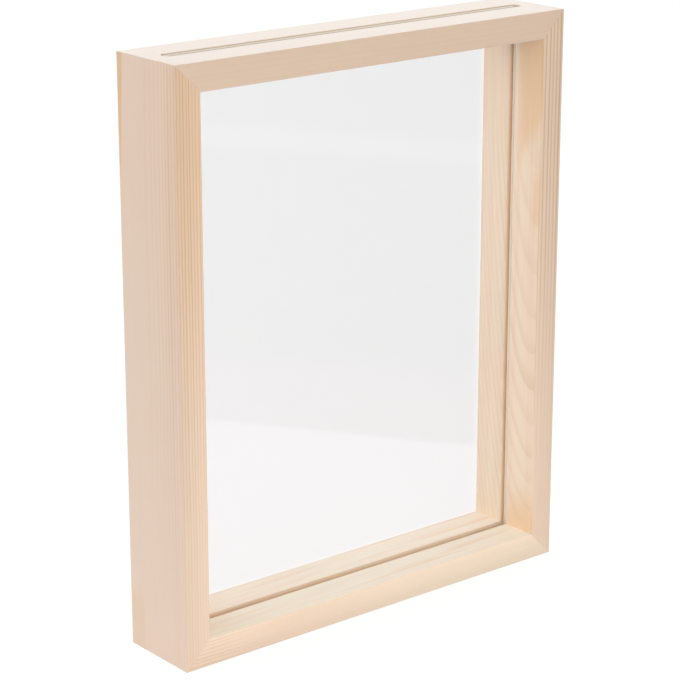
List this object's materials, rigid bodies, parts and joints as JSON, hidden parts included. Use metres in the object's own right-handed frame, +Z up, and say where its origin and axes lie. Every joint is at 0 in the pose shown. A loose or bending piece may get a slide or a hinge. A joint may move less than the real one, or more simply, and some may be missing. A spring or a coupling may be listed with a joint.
{
  "type": "floating picture frame",
  "caption": "Deep mitred bare-pine frame, open front and back, holding a pair of clear panes that slide down through a slot in its top rail.",
  "frame": {"origin": "on the surface that the frame stands on, at the middle of its width and of its depth", "axes": "+X to the right seen from the front, +Y to the rear, +Z up; the front faces -Y"},
  "size_m": [0.208, 0.04, 0.255],
  "materials": {
    "pine": "planed bare pine, unsealed",
    "clear_pane": "clear and polished, cut edges frosted",
    "nail_steel": "plain strip steel"
  },
  "bodies": {
    "frame": {"top_rail": "pine", "bottom_rail": "pine", "left_stile": "pine", "right_stile": "pine", "v_nails_top_left": "nail_steel", "v_nails_top_right": "nail_steel", "v_nails_bottom_left": "nail_steel", "v_nails_bottom_right": "nail_steel"},
    "front_pane": {"front_pane": "clear_pane"},
    "rear_pane": {"rear_pane": "clear_pane"}
  },
  "joints": [
    {"name": "front_pane_lift", "type": "slide", "parent": "frame", "child": "front_pane", "axis": [0, 0, 1], "range_m": [0, 0.25]},
    {"name": "rear_pane_lift", "type": "slide", "parent": "frame", "child": "rear_pane", "axis": [0, 0, 1], "range_m": [0, 0.25]}
  ]
}
